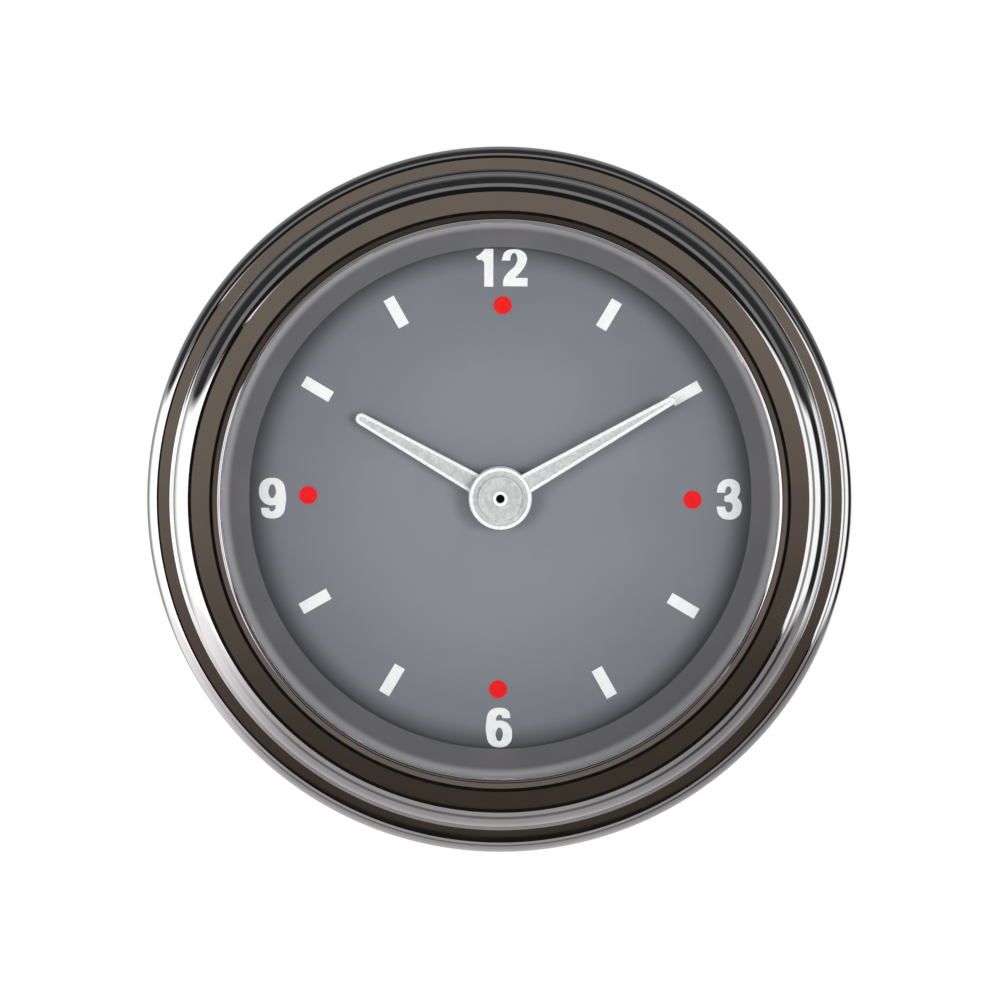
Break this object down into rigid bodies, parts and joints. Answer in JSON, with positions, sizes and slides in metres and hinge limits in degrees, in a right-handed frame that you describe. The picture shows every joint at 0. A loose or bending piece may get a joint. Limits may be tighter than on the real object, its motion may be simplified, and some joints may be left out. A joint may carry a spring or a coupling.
{
  "type": "car dashboard clock",
  "caption": "Round panel-mounted car clock: stepped chrome bezel, grey dial with white bars and red dots, two silver hands and a geared quartz movement in a black case.",
  "frame": {"origin": "centre of the barrel at the panel's front face, where the back of the bezel seats", "axes": "-Y out of the dial towards the driver, +Y back through the panel, +Z to 12 o'clock, +X to 3 o'clock"},
  "size_m": [0.0604, 0.0548, 0.0604],
  "materials": {
    "bright_chrome": "polished plating",
    "gasket_rubber": "matt",
    "lens_glass": "clear",
    "ring_paint": "satin",
    "dial_paint": "matt",
    "white_ink": "printed",
    "red_ink": "printed",
    "case_plastic": "fine grain",
    "plate_brass": "brushed",
    "bush_brass": "turned",
    "wheel_brass": "stamped",
    "blade_brass": "tinned",
    "turned_steel": "turned",
    "zinc_steel": "zinc plated",
    "soft_iron": "annealed",
    "magnet": "sintered",
    "bobbin_plastic": "moulded",
    "coil_wire": "enamelled copper",
    "board_laminate": "solder mask",
    "can_metal": "drawn can",
    "chip_plastic": "moulded",
    "capacitor_sleeve": "shrunk sleeve",
    "trimmer_plastic": "moulded",
    "hand_silver": "satin face, bright edge",
    "knob_plastic": "moulded",
    "holder_plastic": "moulded",
    "bulb_glass": "clear"
  },
  "bodies": {
    "instrument": {"bezel": "bright_chrome", "lens_gasket": "gasket_rubber", "glass_lens": "lens_glass", "dial_ring": "ring_paint", "dial": "dial_paint", "hour_bars": "white_ink", "quarter_dots": "red_ink", "case": "case_plastic", "front_plate": "plate_brass", "rear_plate": "plate_brass", "plate_pillars": "turned_steel", "front_bushes": "bush_brass", "rear_bushes": "bush_brass", "coil_bobbin": "bobbin_plastic", "coil_winding": "coil_wire", "coil_core": "soft_iron", "coil_pins": "turned_steel", "stator": "soft_iron", "core_screws": "turned_steel", "circuit_board": "board_laminate", "quartz_crystal": "can_metal", "driver_chip": "chip_plastic", "smoothing_capacitor": "capacitor_sleeve", "trimmer_capacitor": "trimmer_plastic", "board_spacers": "turned_steel", "case_screws": "zinc_steel", "mounting_studs": "zinc_steel", "supply_terminals": "blade_brass", "setting_bush": "bush_brass"},
    "minute_train": {"minute_hand": "hand_silver", "centre_arbor": "turned_steel", "cannon_pinion": "wheel_brass", "centre_wheel": "wheel_brass", "clutch_spring": "turned_steel"},
    "hour_train": {"hour_hand": "hand_silver", "hour_wheel": "wheel_brass"},
    "setting_train": {"minute_wheel": "wheel_brass", "setting_arbor": "turned_steel", "setting_knob": "knob_plastic", "knob_screw": "zinc_steel"},
    "third_train": {"third_wheel": "wheel_brass", "third_arbor": "turned_steel"},
    "intermediate_train": {"intermediate_wheel": "wheel_brass", "intermediate_arbor": "turned_steel"},
    "rotor": {"rotor_magnet": "magnet", "rotor_arbor": "turned_steel"},
    "lamp": {"lamp_holder": "holder_plastic", "lamp_bulb": "bulb_glass", "lamp_tabs": "blade_brass"}
  },
  "joints": [
    {"name": "minute_hand_turn", "type": "hinge", "parent": "instrument", "child": "minute_train", "pos_m": [0, 0, 0], "axis": [0, 1, 0], "continuous": true},
    {"name": "hour_hand_turn", "type": "hinge", "parent": "instrument", "child": "hour_train", "pos_m": [0, 0, 0], "axis": [0, 1, 0], "continuous": true},
    {"name": "setting_knob_turn", "type": "hinge", "parent": "instrument", "child": "setting_train", "pos_m": [0, 0, -0.008], "axis": [0, 1, 0], "continuous": true},
    {"name": "third_wheel_turn", "type": "hinge", "parent": "instrument", "child": "third_train", "pos_m": [-0.0036, 0, 0.00624], "axis": [0, 1, 0], "continuous": true},
    {"name": "intermediate_wheel_turn", "type": "hinge", "parent": "instrument", "child": "intermediate_train", "pos_m": [-0.0001, 0, 0.0123], "axis": [0, 1, 0], "continuous": true},
    {"name": "rotor_turn", "type": "hinge", "parent": "instrument", "child": "rotor", "pos_m": [0.0044, 0, 0.00694], "axis": [0, 1, 0], "continuous": true},
    {"name": "lamp_holder_twist", "type": "hinge", "parent": "instrument", "child": "lamp", "pos_m": [0, 0, 0.0174], "axis": [0, 1, 0], "range_deg": [0, 60]}
  ],
  "couplings": [
    {"joint": "hour_hand_turn", "follows": "minute_hand_turn", "ratio": 0.083333},
    {"joint": "setting_knob_turn", "follows": "minute_hand_turn", "ratio": -0.33333},
    {"joint": "third_wheel_turn", "follows": "minute_hand_turn", "ratio": -5},
    {"joint": "intermediate_wheel_turn", "follows": "minute_hand_turn", "ratio": 30},
    {"joint": "rotor_turn", "follows": "minute_hand_turn", "ratio": -180}
  ]
}
